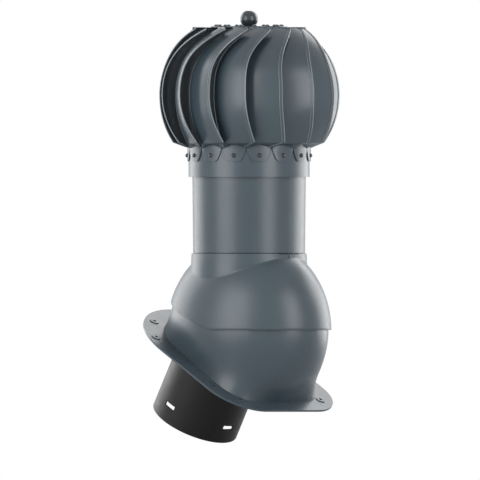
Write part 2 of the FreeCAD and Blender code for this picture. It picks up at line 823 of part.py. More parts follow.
def vane_edges(z):
    """The inner and outer edge of a vane at one height, measured from its rivets."""
    middle = value("head_middle")
    outer_middle = value("outer_middle")
    inner_middle = value("inner_middle")
    if z >= middle:
        share = (z - middle) / (value("vane_top") - middle)
        outer = outer_middle + (value("outer_top") - outer_middle) * share ** 4
        inner = inner_middle + (value("inner_top") - inner_middle) * share ** 4
        rises = (value("head_rise"), value("inner_rise"))
    else:
        share = (middle - z) / (middle - value("vane_corner"))
        outer = outer_middle + (value("outer_corner") - outer_middle) * share ** 2
        inner = inner_middle + (-value("petal_half") - inner_middle) * share ** 2
        rises = (value("head_fall"), value("inner_fall"))
    wide = value("head_radius_max") * math.sqrt(1 - ((z - middle) / rises[0]) ** 2)
    deep = value("inner_radius") * math.sqrt(1 - ((z - middle) / rises[1]) ** 2)
    return polar(deep, inner, z), polar(wide, outer, z)


def strip(edge_pairs, thick, bulge):
    """A thin sheet lofted through cross sections, each bowed outwards by bulge."""
    wires = []
    for i, (inner, outer) in enumerate(edge_pairs):
        before = edge_pairs[max(i - 1, 0)]
        after = edge_pairs[min(i + 1, len(edge_pairs) - 1)]
        along = (after[0] + after[1]) - (before[0] + before[1])
        out = (outer - inner).cross(along)
        out.normalize()
        if out.dot(Vector(inner.x + outer.x, inner.y + outer.y, 0)) < 0:
            out = out * -1
        middle = (inner + outer) * 0.5 + out * bulge
        back = out * -thick
        wires.append(Part.Wire([
            Part.Arc(inner, middle, outer).toShape(),
            Part.LineSegment(outer, outer + back).toShape(),
            Part.Arc(outer + back, middle + back, inner + back).toShape(),
            Part.LineSegment(inner + back, inner).toShape()]))
    return wires


def vane():
    """One vane: a bowed blade, a tab under the crown disc and a petal on the neck ring."""
    thick = value("vane_thick")
    top = value("vane_top")
    middle = value("head_middle")
    corner = value("vane_corner")
    shares = [1.0, 0.95, 0.87, 0.74, 0.55, 0.3, 0.0]
    levels = [middle + (top - middle) * share for share in shares]
    levels += [middle - (middle - corner) * share for share in (0.35, 0.7, 1.0)]
    pairs = [vane_edges(z) for z in levels]
    outer_radius = value(NECK + " + seat_gap") + thick
    petal_top = value("petal_top")
    half = value("petal_half")
    low_pair = (polar(outer_radius, -half, petal_top), polar(outer_radius, half, petal_top))
    blade = Part.makeLoft(strip(pairs + [low_pair], thick, value("vane_bow")), True, True)
    return blade.fuse([petal(), tab(pairs[0])])


def petal():
    """The lower tab, wrapped on the neck ring and narrowing to a rounded end."""
    thick = value("vane_thick")
    inner = value(NECK + " + seat_gap")
    low = value("petal_bottom")
    high = value("petal_top")
    wall = tube_of(inner, inner + thick, low, high)
    half = (inner + thick) * math.sin(math.radians(value("petal_half")))
    far = inner * 2
    side = [(half, high), (half * 0.95, high - value("petal_shoulder")),
            (half * 0.68, low + value("petal_round")), (half * 0.45, low)]
    outline = [Vector(0, -across, up) for across, up in side]
    outline += [Vector(0, across, up) for across, up in reversed(side)]
    outline.append(outline[0])
    cutter = Part.Face(Part.makePolygon(outline)).extrude(Vector(far, 0, 0))
    return wall.common(cutter).cut(neck_rivet_hole())


def neck_rivet_hole():
    """What a rivet's hole takes out of a petal and of the neck ring behind it."""
    deep = value("neck_gap") * 2
    start = Vector(value(NECK) - deep, 0, value("neck_rivet_at"))
    return Part.makeCylinder(value("rivet_radius + bearing_fit"), 2 * deep, start, Vector(1, 0, 0))


def tab(top_pair):
    """The upper tab, from the blade's top edge in under the crown disc."""
    high = value("tab_top")
    thick = value("vane_thick")
    near = value("tab_inner")
    knee = value("disc_radius") + 1
    half = value("tab_half")
    inner, outer = top_pair
    inner_corner = polar(math.hypot(inner.x, inner.y), value("inner_top"), high)
    outer_corner = polar(math.hypot(outer.x, outer.y), value("outer_top"), high)
    outline = [polar(near, -half, high), polar(knee, -half, high), inner_corner, outer_corner,
               polar(knee, half, high), polar(near, half, high), polar(near, -half, high)]
    flat = Part.Face(Part.makePolygon(outline)).extrude(Vector(0, 0, -thick))
    knee_sections = strip([(inner_corner, outer_corner), top_pair], thick, value("vane_bow"))
    drop = Part.makeLoft(knee_sections, True, True)
    hole = Part.makeCylinder(value("rivet_radius + bearing_fit"), 2 * high, Vector(value("rivet_ring"), 0, 0))
    return flat.fuse(drop).cut(hole)


on_top(keep(feature("crown_disc", crown_disc()), "crown_disc"))

vane_shape = vane()
for number, angle in enumerate(vane_angles(), start=1):
    name = "vane_%02d" % number
    on_top(keep(feature(name, vane_shape.copy()), name), turn=angle)


def drilled_neck():
    """The neck ring with a hole behind each petal."""
    ring = tube_of(value(NECK + " - neck_wall"), value(NECK), value("neck_bottom"), value("neck_top"))
    holes = []
    for angle in vane_angles():
        hole = neck_rivet_hole()
        hole.rotate(Vector(0, 0, 0), Vector(0, 0, 1), angle)
        holes.append(hole)
    return ring.cut(Part.makeCompound(holes))


def rivets(blank):
    group = []
    for angle in vane_angles():
        rivet = blank.copy()
        rivet.rotate(Vector(0, 0, 0), Vector(0, 0, 1), angle)
        group.append(rivet)
    return Part.makeCompound(group)


def neck_rivet():
    face = value(NECK + " + seat_gap + vane_thick")
    inside = value(NECK + " - neck_wall - rivet_tail")
    up = value("neck_rivet_at")
    out = Vector(1, 0, 0)
    shank = Part.makeCylinder(value("rivet_radius"), face - inside, Vector(inside, 0, up), out)
    head = Part.makeCone(value("rivet_head"), value("rivet_crown"), value("rivet_head_tall"),
                         Vector(face, 0, up), out)
    return shank.fuse(head)


def crown_rivet():
    top = value("tab_top + disc_thick")
    low = value("tab_top - vane_thick - rivet_tail")
    ring = value("rivet_ring")
    shank = Part.makeCylinder(value("rivet_radius"), top - low, Vector(ring, 0, low))
    head = Part.makeCone(value("rivet_head"), value("rivet_crown"), value("rivet_head_tall"),
                         Vector(ring, 0, top))
    return shank.fuse(head)


on_top(keep(feature("neck_ring", drilled_neck()), "neck_ring"))
on_top(keep(feature("neck_rivets", rivets(neck_rivet())), "neck_rivets"))
on_top(keep(feature("crown_rivets", rivets(crown_rivet())), "crown_rivets"))


def ball_knob():
    """A ball with a flat crown on a short neck, and the stud that holds it in the disc."""
    top = value("tab_top + disc_thick")
    centre = Vector(0, 0, value("knob_at"))
    wide = value("knob_radius") * 4
    ball = Part.makeSphere(value("knob_radius"), centre)
    flat = value("knob_at + knob_radius - knob_flat")
    trim = Part.makeBox(wide, wide, wide, Vector(-wide / 2, -wide / 2, flat))
    neck = Part.makeCylinder(value("knob_neck"), value("knob_at") - top, Vector(0, 0, top))
    above = Part.makeBox(wide, wide, wide, Vector(-wide / 2, -wide / 2, top))
    stud = Part.makeCylinder(value("knob_stud"), value("stud_long"), Vector(0, 0, top - value("stud_below")))
    return ball.common(above).cut(trim).fuse([neck, stud])


on_top(keep(feature("ball_knob", ball_knob()), "ball_knob"))

doc.recompute()

faults = []
for item in doc.Objects:
    if "Invalid" in item.State or "Error" in item.State:
        faults.append("%s is %s" % (item.Label, item.State))
for label, item in nodes.items():
    if item.Shape.isNull() or not item.Shape.isValid() or not item.Shape.Solids:
        faults.append("%s has no valid solid" % label)
if faults:
    raise RuntimeError("; ".join(faults))

os.makedirs("parts", exist_ok=True)
for label, item in nodes.items():
    item.Shape.exportStep("parts/%s.step" % label)
print("wrote %d nodes" % len(nodes))
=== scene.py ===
# %% [markdown]
# Roof turbine ventilator.
# A base with a sloping flange is screwed to the roof. A hood tilts on it until it stands upright,
# and carries an insulated pipe. On the pipe turns a head of fifteen bent vanes, driven by wind.
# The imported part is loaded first, as a fixed frame, and most of its pieces keep their shape and
# only get a finish here. The vanes, the rivet heads and the hood are made again as finer meshes,
# because their hems, domes and soft bends show up close.

# %% Load the frame
import json
import math
from collections import namedtuple

import bmesh
import bpy
from mathutils import Matrix, Vector


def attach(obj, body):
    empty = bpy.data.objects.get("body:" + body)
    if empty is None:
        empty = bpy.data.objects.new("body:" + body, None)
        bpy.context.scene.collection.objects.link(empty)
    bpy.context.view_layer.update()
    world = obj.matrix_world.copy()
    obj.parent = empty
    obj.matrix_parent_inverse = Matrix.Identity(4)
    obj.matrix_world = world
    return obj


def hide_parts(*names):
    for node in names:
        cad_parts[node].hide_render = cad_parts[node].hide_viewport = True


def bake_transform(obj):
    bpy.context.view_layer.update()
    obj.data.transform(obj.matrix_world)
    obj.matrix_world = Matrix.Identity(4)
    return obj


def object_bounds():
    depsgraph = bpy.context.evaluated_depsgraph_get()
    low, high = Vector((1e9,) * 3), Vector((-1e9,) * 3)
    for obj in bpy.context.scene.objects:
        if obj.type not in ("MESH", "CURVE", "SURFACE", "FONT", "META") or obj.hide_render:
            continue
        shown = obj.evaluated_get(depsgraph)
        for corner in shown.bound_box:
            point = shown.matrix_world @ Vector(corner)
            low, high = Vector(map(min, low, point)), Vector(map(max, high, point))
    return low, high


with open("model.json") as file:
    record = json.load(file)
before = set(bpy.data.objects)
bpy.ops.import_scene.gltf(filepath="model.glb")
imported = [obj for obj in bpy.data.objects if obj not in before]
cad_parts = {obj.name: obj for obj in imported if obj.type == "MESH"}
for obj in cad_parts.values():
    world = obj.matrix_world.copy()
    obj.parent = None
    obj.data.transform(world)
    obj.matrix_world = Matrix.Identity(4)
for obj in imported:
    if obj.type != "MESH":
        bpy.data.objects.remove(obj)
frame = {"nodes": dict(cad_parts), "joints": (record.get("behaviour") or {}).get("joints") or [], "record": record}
start_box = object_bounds()
nodes = frame["nodes"]
print("nodes", len(nodes))

# %% [markdown]
# The frame is in metres, but sheet metal is drawn in millimetres, so the shapes below are written
# in millimetres and brought to metres by one value. The hood tilts about a level axis, and the
# pipe and the head stand upright over it. So the new pieces are measured from that axis, and none
# of them has to be fitted by eye.

# %% Millimetres and the tilting axis
MM = 0.001
joints = {joint["name"]: joint for joint in frame["joints"]}
PIVOT = Vector(joints["pitch_adjust"]["pos_m"])
print("pivot", tuple(round(c, 4) for c in PIVOT))

# %% [markdown]
# The real metal has a coat of satin graphite paint, and the spigot is moulded in black plastic.
# Neither is one flat colour: the coat changes slowly in shade, its gloss is uneven, and up close
# it has a fine grain. A scanned picture could show that, but it would have to be laid on each
# piece without a seam. Noise that is read at each point of the piece needs no laying on, and it
# stays in place when the piece turns. So every finish is made of three noises, one each for
# shade, gloss and grain.

# %% Nodes that a finish is made of
MIX_FACTOR, MIX_LOW, MIX_HIGH = 0, 6, 7
MIX_RESULT = 2
NOISE_LOW, NOISE_HIGH = 0.3, 0.7


def mixed(tree, low, high, factor):
    """A colour between two others. The low one is a colour or another node's socket."""
    node = tree.nodes.new("ShaderNodeMix")
    node.data_type = "RGBA"
    tree.links.new(factor, node.inputs[MIX_FACTOR])
    if isinstance(low, bpy.types.NodeSocket):
        tree.links.new(low, node.inputs[MIX_LOW])
    else:
        node.inputs[MIX_LOW].default_value = (*low, 1.0)
    node.inputs[MIX_HIGH].default_value = (*high, 1.0)
    return node.outputs[MIX_RESULT]


def noise(tree, place, scale, detail=3.0):
    """Cloudy noise. A larger scale makes smaller clouds."""
    node = tree.nodes.new("ShaderNodeTexNoise")
    tree.links.new(place, node.inputs["Vector"])
    node.inputs["Scale"].default_value = scale
    node.inputs["Detail"].default_value = detail
    return node.outputs[0]


def ranged(tree, source, low, high):
    """Spreads the middle of a noise, where most of it lies, from low to high."""
    node = tree.nodes.new("ShaderNodeMapRange")
    tree.links.new(source, node.inputs["Value"])
    node.inputs["From Min"].default_value = NOISE_LOW
    node.inputs["From Max"].default_value = NOISE_HIGH
    node.inputs["To Min"].default_value = low
    node.inputs["To Max"].default_value = high
    return node.outputs[0]


def maths(tree, operation, *values):
    """One sum. Each value is a number or another node's socket."""
    node = tree.nodes.new("ShaderNodeMath")
    node.operation = operation
    for socket, value in zip(node.inputs, values):
        if isinstance(value, bpy.types.NodeSocket):
            tree.links.new(value, socket)
        else:
            socket.default_value = value
    return node.outputs[0]


print("noise spread from", NOISE_LOW, "to", NOISE_HIGH)

# %% A finish
SHADE_SCALE = 14.0
GLOSS_SCALE = 56.0
GRAIN_DETAIL = 2.0
GRAIN_STRENGTH = 0.5


def finish_of(name, colour, tint=0.12, rough=(0.36, 0.44), metallic=0.0, specular=0.5,
              grain=900.0, grain_depth=0.03 * MM):
    """A surface with a slow change of shade, a fine grain and an uneven gloss."""
    material = bpy.data.materials.new(name)
    material.use_nodes = True
    tree = material.node_tree
    shader = tree.nodes["Principled BSDF"]
    place = tree.nodes.new("ShaderNodeTexCoord").outputs["Object"]
    darker = tuple(c * (1 - tint) for c in colour)
    lighter = tuple(c * (1 + tint) for c in colour)
    shade = ranged(tree, noise(tree, place, SHADE_SCALE), 0.0, 1.0)
    tree.links.new(mixed(tree, darker, lighter, shade), shader.inputs["Base Color"])
    gloss = ranged(tree, noise(tree, place, GLOSS_SCALE), *rough)
    tree.links.new(gloss, shader.inputs["Roughness"])
    bump = tree.nodes.new("ShaderNodeBump")
    bump.inputs["Strength"].default_value = GRAIN_STRENGTH
    bump.inputs["Distance"].default_value = grain_depth
    tree.links.new(noise(tree, place, grain, GRAIN_DETAIL), bump.inputs["Height"])
    tree.links.new(bump.outputs[0], shader.inputs["Normal"])
    shader.inputs["Metallic"].default_value = metallic
    shader.inputs["Specular IOR Level"].default_value = specular
    return material


print("shade in clouds of about", round(1000 / SHADE_SCALE), "mm")

# %% [markdown]
# The hood, the base and the pipe are a little duller than the head. On the real head the knob and the rivets look
# darker than the sheet, and the folds and the insides of the vanes paler. That is light and shade, and here it is
# painted: painted shade on the knob and the rivets, a painted highlight on the folds and edges, and painted light
# inside the vanes. More lights could bring that out, but it would change with the view, so each has its own paint.

# %% Paints
GRAPHITE = (0.046, 0.066, 0.081)
SATIN = {"tint": 0.06, "rough": (0.33, 0.37), "grain": 1100.0}
paint = finish_of("turbine_paint", GRAPHITE, tint=0.06, rough=(0.29, 0.33), grain=1400.0)
shell = finish_of("shell_paint", GRAPHITE, **SATIN)
pipe_paint = finish_of("pipe_paint", GRAPHITE, **SATIN)
# Painted shade: the rivet heads on the neck ring get a darker paint than the sheet.
rivet_painted_shade = finish_of("rivet_painted_shade", (0.018, 0.024, 0.029), tint=0.05, rough=(0.22, 0.28), grain=1400.0)
# Painted shade: the knob gets a darker paint than the sheet.
knob_painted_shade = finish_of("knob_painted_shade", (0.026, 0.035, 0.042), tint=0.05, rough=(0.24, 0.29), grain=1400.0)
# Painted light: a paler paint for the inner side of the vanes, which would otherwise lie in deep shade, and for
# the level mark, as a painted highlight.
pale_painted_light = finish_of("pale_painted_light", (0.12, 0.14, 0.155), tint=0.06, rough=(0.40, 0.46), grain=1400.0)
# Painted highlight: a pale paint for the folds and rounded edges of the vanes.
edge_painted_highlight = finish_of("edge_painted_highlight", (0.17, 0.20, 0.22), tint=0.05, rough=(0.28, 0.33), grain=1400.0)
print("paint on the sheet", GRAPHITE)

# %% Plastic, rubber, foam and steel
black = finish_of("black_plastic", (0.012, 0.012, 0.0125), rough=(0.40, 0.50), specular=0.28, grain=1500.0)
rubber = finish_of("rubber", (0.02, 0.02, 0.02), rough=(0.6, 0.75), specular=0.3, grain=1800.0)
hose = finish_of("hose", (0.028, 0.028, 0.03), rough=(0.5, 0.62), specular=0.35, grain=1300.0)
foam = finish_of("foam", (0.6, 0.6, 0.57), rough=(0.8, 0.95), grain=500.0, grain_depth=0.2 * MM)
steel = finish_of("bright_steel", (0.55, 0.56, 0.58), tint=0.05, rough=(0.28, 0.4), metallic=1.0,
                  grain=2500.0)
LOOKS = {"turbine_paint": paint, "shell_paint": shell, "black_plastic": black, "rubber": rubber,
         "hose": hose, "foam": foam, "bright_steel": steel}
print("slots of the record", sorted(LOOKS))

# %% [markdown]
# The pipe stands in the hood's sleeve with a gap so fine that a render loses it, but on the real object the shade
# in that gap shows as a thin dark line. A wider gap would be a wrong size, so the line is painted shade on the
# pipe, a level band that is nearly black and dull.

# %% The painted shade at the pipe's foot
# The band of painted shade: its low and high edge in millimetres above the tilting axis.
GAP_SHADE_LOW, GAP_SHADE_HIGH = 104.5, 107.9
GAP_SHADE_COLOUR = (0.003, 0.004, 0.005)
PLAIN_SPECULAR, GAP_SHADE_SPECULAR = 0.5, 0.05


def painted_shade_band(material, low, high, colour):
    """Paints shade as a darker, duller level band on a painted piece, between two heights in metres."""
    tree = material.node_tree
    shader = tree.nodes["Principled BSDF"]
    base = shader.inputs["Base Color"].links[0].from_socket
    height = tree.nodes.new("ShaderNodeSeparateXYZ")
    tree.links.new(tree.nodes["Texture Coordinate"].outputs["Object"], height.inputs[0])
    band = maths(tree, "COMPARE", height.outputs["Z"], (low + high) / 2, (high - low) / 2)
    tree.links.new(mixed(tree, base, colour, band), shader.inputs["Base Color"])
    dull = maths(tree, "MULTIPLY_ADD", band, GAP_SHADE_SPECULAR - PLAIN_SPECULAR, PLAIN_SPECULAR)
    tree.links.new(dull, shader.inputs["Specular IOR Level"])


painted_shade_band(pipe_paint, PIVOT.z + GAP_SHADE_LOW * MM, PIVOT.z + GAP_SHADE_HIGH * MM, GAP_SHADE_COLOUR)
print("line", round(GAP_SHADE_HIGH - GAP_SHADE_LOW, 1), "mm high")

# %% [markdown]
# The record names a finish for every piece of the frame. Only the pipe and the knob differ from it, the pipe for
# its band of painted shade and the knob for its darker paint, which is painted shade.

# %% Finish the frame's own pieces
for row in frame["record"]["subparts"]:
    mesh = nodes[row["node"]].data
    mesh.materials.clear()
    mesh.materials.append(LOOKS[row["material_slot"]])
nodes["outer_pipe"].data.materials[0] = pipe_paint
# The knob's darker paint is painted shade.
nodes["ball_knob"].data.materials[0] = knob_painted_shade

# %% [markdown]
# Each vane is one strip of bent sheet. It starts as a flat tab under the crown disc and turns
# down into a blade that bulges and twists round the head. At its foot it tucks in through a
# small gusset, and it ends in a rounded petal on the neck ring.
# A flat grid could be bent by modifiers, but the two edges of the blade follow different curves,
# which is hard to get that way. Here the edges are drawn first, each as a radius and a turn for
# every height, as one would set out the pattern of the real sheet.

# %% A blade's two edges, in millimetres above the pipe's top and degrees from its rivets
PIPE_TOP = 245.0
BLADE_TOP, WIDEST, BLADE_FOOT = 176.5, 84.0, 17.4
OUTER_RADIUS, INNER_RADIUS = 127.4, 106.4
OUTER_TURNS = {"top": 37.0, "widest": 12.0, "foot": 18.5}
INNER_TURNS = {"top": 14.5, "widest": -14.5, "foot": -11.6}
OUTER_OVAL = {"top": 119.0, "foot": 123.2}
INNER_OVAL = {"top": 112.0, "foot": 130.3}
# Each end's height, and the power with which the turn eases towards it.
ENDS = {"top": (BLADE_TOP, 4), "foot": (BLADE_FOOT, 2)}


def polar(radius, angle, z):
    """A point round the axle, at a height above the pipe's top."""
    turn = math.radians(angle)
    return Vector((radius * math.cos(turn), radius * math.sin(turn), z))


def edge_point(z, radius, turns, ovals):
    """Where one edge is at one height: its radius follows an oval, and its turn eases to each end."""
    end = "top" if z >= WIDEST else "foot"
    limit, power = ENDS[end]
    share = (z - WIDEST) / (limit - WIDEST)
    turn = turns["widest"] + (turns[end] - turns["widest"]) * share ** power
    return polar(radius * math.sqrt(1 - ((z - WIDEST) / ovals[end]) ** 2), turn, z)


def blade_edges(z):
    """The inner and the outer edge of a blade at one height."""
    inner = edge_point(z, INNER_RADIUS, INNER_TURNS, INNER_OVAL)
    outer = edge_point(z, OUTER_RADIUS, OUTER_TURNS, OUTER_OVAL)
    return inner, outer


inner, outer = blade_edges(WIDEST)
print("blade", round((outer - inner).length), "mm wide")

# %% [markdown]
# The whole strip is a row of cross sections, from the tab to the petal. A section says where its
# two ends are, how far its middle bows out, how deep its hem is folded and how far its middle is
# lifted. The rows lie closest where the sheet bends most, under the crown and at the foot.

# %% Rows of a vane
Row = namedtuple("Row", "inner outer bow fold rise")
SHEET = 1.0
NECK_RADIUS, PETAL_GAP = 84.9, 0.1
PETAL_FRONT = NECK_RADIUS + PETAL_GAP + SHEET
TAB_HEIGHT, TAB_HALF = 179.0, 11.7
TAB_START, TAB_END = 39.0, 54.2
TAB_FOLD = 0.3
UPPER_STEPS, LOWER_STEPS = 32, 18
CROWDING = 1.1
BOW = 2.5
GUSSET_SHARES = (0.06, 0.3, 0.6, 0.85, 0.97)
PETAL_HALF = 11.6
# The petal from its top down: height, share of its width, and rise of its middle.
PETAL = ((9.0, 1.0, 5.0), (7.0, 0.98, 3.9), (5.0, 0.95, 2.8), (2.0, 0.88, 1.5), (-2.0, 0.78, 0.5),
         (-5.0, 0.69, 0.0), (-7.2, 0.60, 0.0), (-8.5, 0.50, 0.0), (-9.0, 0.42, 0.0))
PETAL_TOP, _, PETAL_RISE = PETAL[0]


def tab_rows():
    """The flat tab, which widens to the blade's top."""
    rows = [Row(polar(radius, -TAB_HALF, TAB_HEIGHT), polar(radius, TAB_HALF, TAB_HEIGHT), 0.0, 0.0, 0.0)
            for radius in (TAB_START, TAB_END)]
    inner, outer = (Vector((edge.x, edge.y, TAB_HEIGHT)) for edge in blade_edges(BLADE_TOP))
    return rows + [Row(inner, outer, 0.0, TAB_FOLD, 0.0)]


def blade_rows():
    """The twisted blade, from its top to its foot."""
    heights = [WIDEST + (BLADE_TOP - WIDEST) * math.cos(i / UPPER_STEPS * math.pi / 2) ** CROWDING
               for i in range(UPPER_STEPS + 1)]
    heights += [WIDEST - (WIDEST - BLADE_FOOT) * i / LOWER_STEPS for i in range(1, LOWER_STEPS + 1)]
    return [Row(*blade_edges(z), BOW, 1.0, 0.0) for z in heights]


def gusset_rows():
    """The short stretch that draws the blade's foot in to the neck ring."""
    corner_in, corner_out = blade_edges(BLADE_FOOT)
    foot_in = polar(PETAL_FRONT, -PETAL_HALF, PETAL_TOP)
    foot_out = polar(PETAL_FRONT, PETAL_HALF, PETAL_TOP)
    rows = []
    for share in GUSSET_SHARES:
        inner = corner_in.lerp(foot_in, share)
        outer = corner_out.lerp(foot_out, share)
        rows.append(Row(inner, outer, BOW * (1 - share), 1.0 - share, PETAL_RISE * share))
    return rows


def petal_rows():
    """The rounded petal. It has no bow of its own, because it lies on the ring."""
    rows = []
    for z, half, rise in PETAL:
        inner = polar(PETAL_FRONT, -PETAL_HALF * half, z)
        outer = polar(PETAL_FRONT, PETAL_HALF * half, z)
        rows.append(Row(inner, outer, None, 0.0, rise))
    return rows


VANE_ROWS = tab_rows() + blade_rows() + gusset_rows() + petal_rows()
print("rows in a vane", len(VANE_ROWS))

# %% [markdown]
# On the real vane the leading edge is folded back into a hem, which stiffens it, and the other
# edge has a narrow rounded lip. A Bevel or Solidify modifier would give every edge the same
# round, so the section is drawn instead: first along the sheet's front from the lip to the hem,
# then back along its other side. Each point also says which paint the strip after it takes.

# %% The sheet's section, in millimetres
# Three paints: the sheet's own, a painted highlight along folds and edges, and painted light on the inner side.
PAINTED, EDGE_HIGHLIGHT, INSIDE_LIT = 0, 1, 2
HEM, FOLD = 4.6, 0.9
HEM_GAP = 1.0
LIP_END, LIP_SHARE = 2.8, 0.35
FRONT_STEPS, BACK_STEPS = 8, 6
BACK_INSET = 2.0
# The lip: distance from the inner edge, depth under the lip's own level, and paint.
LIP = ((0.0, 0.5, EDGE_HIGHLIGHT), (0.15, 0.12, EDGE_HIGHLIGHT), (0.7, 0.0, PAINTED), (1.7, 0.0, EDGE_HIGHLIGHT),
       (2.4, 0.1, EDGE_HIGHLIGHT))
# The hem's step: distance from the fold, share of the fold's depth, and paint.
HEM_STEP = ((-0.2, 1.0, EDGE_HIGHLIGHT), (0.2, 0.2, EDGE_HIGHLIGHT), (0.7, 0.0, PAINTED))
# The hem's rounded front and back: distance from the outer edge, depth, and paint.
HEM_FRONT = ((0.9, 0.02, EDGE_HIGHLIGHT), (0.25, 0.15, EDGE_HIGHLIGHT), (0.0, 0.5, EDGE_HIGHLIGHT))
HEM_BACK = ((0.0, -0.4, EDGE_HIGHLIGHT), (0.25, -0.1, INSIDE_LIT), (0.9, 0.0, INSIDE_LIT))
LIP_BACK = (0.15, -0.2, EDGE_HIGHLIGHT)


def front_of(wide, fold):
    """The sheet's front from the lip to the hem, as distance, depth and paint."""
    deep = FOLD * fold
    front = [(at, deep * LIP_SHARE + depth, look) for at, depth, look in LIP]
    front.append((LIP_END, deep, PAINTED))
    span = wide - HEM - HEM_GAP - LIP_END
    front += [(LIP_END + span * i / FRONT_STEPS, deep, PAINTED) for i in range(1, FRONT_STEPS + 1)]
    front += [(wide - HEM + at, deep * share, look) for at, share, look in HEM_STEP]
    front.append((wide - HEM / 2, 0.0, PAINTED))
    front += [(wide - at, depth, look) for at, depth, look in HEM_FRONT]
    return front


def back_of(wide, fold):
    """The sheet's other side from the hem to the lip, as distance, depth and paint."""
    deep = FOLD * fold + SHEET
    back = [(wide - at, deep + depth, look) for at, depth, look in HEM_BACK]
    span = wide - 2 * BACK_INSET
    back += [(BACK_INSET + span * i / BACK_STEPS, deep, INSIDE_LIT) for i in range(BACK_STEPS, -1, -1)]
    back.append((LIP_BACK[0], deep + LIP_BACK[1], LIP_BACK[2]))
    return back


SECTION_LOOKS = [look for _, _, look in front_of(2 * HEM, 1.0) + back_of(2 * HEM, 1.0)]
print("points in a section", len(SECTION_LOOKS))

# %% [markdown]
# A section of the blade is flat with a small bow, and it faces away from the axle. A section of
# the petal follows the round of the neck ring and stands slightly off it. The 0.001 only decides
# for the level tabs, which face neither in nor out, that their front is the upper side.

# %% Lay a section between two edges
TAB_FACES_UP = 0.001
PETAL_OFF, PETAL_EASE = 0.7, 4.0
PETAL_FRONT_DEPTH = 0.55


def on_ring(row, share, depth, lift):
    """A point of the petal, wrapped round the neck ring."""
    start = math.atan2(row.inner.y, row.inner.x)
    end = math.atan2(row.outer.y, row.outer.x)
    angle = start * (1 - share) + end * share
    radius = PETAL_FRONT - depth
    if depth < PETAL_FRONT_DEPTH:
        radius += PETAL_OFF * min(max((PETAL_TOP - row.inner.z) / PETAL_EASE, 0.0), 1.0)
    return polar(radius, math.degrees(angle), row.inner.z + lift)


def section(row, along):
    """One closed cross section of the sheet, square to the way that it runs."""
    wide = (row.outer - row.inner).length
    across = (row.outer - row.inner).normalized()
    out = across.cross(along).normalized()
    if out.dot(Vector((row.inner.x + row.outer.x, row.inner.y + row.outer.y, TAB_FACES_UP))) < 0:
        out = -out
    points = []
    for at, depth, _ in front_of(wide, row.fold) + back_of(wide, row.fold):
        share = min(max(at / wide, 0.0), 1.0)
        arch = 4 * share * (1 - share)
        if row.bow is None:
            points.append(on_ring(row, share, depth, row.rise * arch))
        else:
            bulge = out * (row.bow * arch - depth) + Vector((0, 0, row.rise * arch))
            points.append(row.inner + across * at + bulge)
    return points


print("petal's front at most", PETAL_FRONT + PETAL_OFF, "mm from the axle")

# %% [markdown]
# The sections are joined into one closed sheet. The operator bridge_loops could do it, but it
# matches points by how near they are, and the sheet's two sides are only 1 mm apart, so each
# point is joined here to the same point of the next section.

# %% Join rings into a skin
def skinned(mesh, rings):
    """Joins each ring of points to the next with a belt of faces, and gives back the belts."""
    belts = []
    for first, second in zip(rings, rings[1:]):
        belt = []
        for j in range(len(first)):
            k = (j + 1) % len(first)
            belt.append(mesh.faces.new((first[j], first[k], second[k], second[j])))
        belts.append(belt)
    return belts


def finished(mesh, name, looks, crease=32.0):
    """Turns a mesh into a smooth piece with crisp creases."""
    bmesh.ops.recalc_face_normals(mesh, faces=mesh.faces)
    for face in mesh.faces:
        face.smooth = True
    for edge in mesh.edges:
        edge.smooth = edge.calc_face_angle(0.0) < math.radians(crease)
    data = bpy.data.meshes.new(name)
    mesh.to_mesh(data)
    mesh.free()
    for look in looks:
        data.materials.append(look)
    piece = bpy.data.objects.new(name, data)
    bpy.context.scene.collection.objects.link(piece)
    return piece


print("points in a vane", len(VANE_ROWS) * len(SECTION_LOOKS))

# %% [markdown]
# All vanes are the same sheet, so one function makes it, and each vane is that sheet turned about
# the axle. Its place is in its mesh, so the object itself stays at the origin.

# %% Fifteen vanes
VANES, FIRST_VANE = 15, 12.6
VANE_ANGLES = [FIRST_VANE + 360.0 / VANES * i for i in range(VANES)]
# Where a hem is folded less deep than this share, its strips keep the plain paint, without painted highlight or
# painted light.
HEM_FADES = 0.3


def about_axle(turn):
    """Turns a thing about the axle, and lifts it to the pipe's top."""
    top = PIVOT + Vector((0, 0, PIPE_TOP * MM))
    return Matrix.Translation(top) @ Matrix.Rotation(math.radians(turn), 4, "Z")


def bent_sheet(turn):
    """The whole vane as one closed mesh."""
    mesh = bmesh.new()
    spin = about_axle(turn)
    rings = []
    for i, row in enumerate(VANE_ROWS):
        before = VANE_ROWS[max(i - 1, 0)]
        after = VANE_ROWS[min(i + 1, len(VANE_ROWS) - 1)]
        along = (after.inner + after.outer) - (before.inner + before.outer)
        rings.append([mesh.verts.new(spin @ (point * MM)) for point in section(row, along)])
    for row, belt in zip(VANE_ROWS, skinned(mesh, rings)):
        for face, look in zip(belt, SECTION_LOOKS):
            face.material_index = look if row.fold > HEM_FADES else PAINTED
    mesh.faces.new(rings[0])
    mesh.faces.new(rings[-1])
    return mesh


for number, turn in enumerate(VANE_ANGLES, start=1):
    # The sheet's own paint, then the painted highlight of folds and edges and the painted light of the inner side.
    looks = [paint, edge_painted_highlight, pale_painted_light]
    piece = finished(bent_sheet(turn), "blade_%02d" % number, looks)
    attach(piece, "rotor")
    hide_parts("vane_%02d" % number)
print("faces in a vane", len(piece.data.polygons))

# %% [markdown]
# Rivets hold the petals to the neck ring and the tabs to the crown disc. A rivet's head is a
# dome, so it is a sphere that is pressed or drawn to the head's height. Its lower half lies in
# and behind the sheet, which is simpler than cutting it off and leaves no open edge.

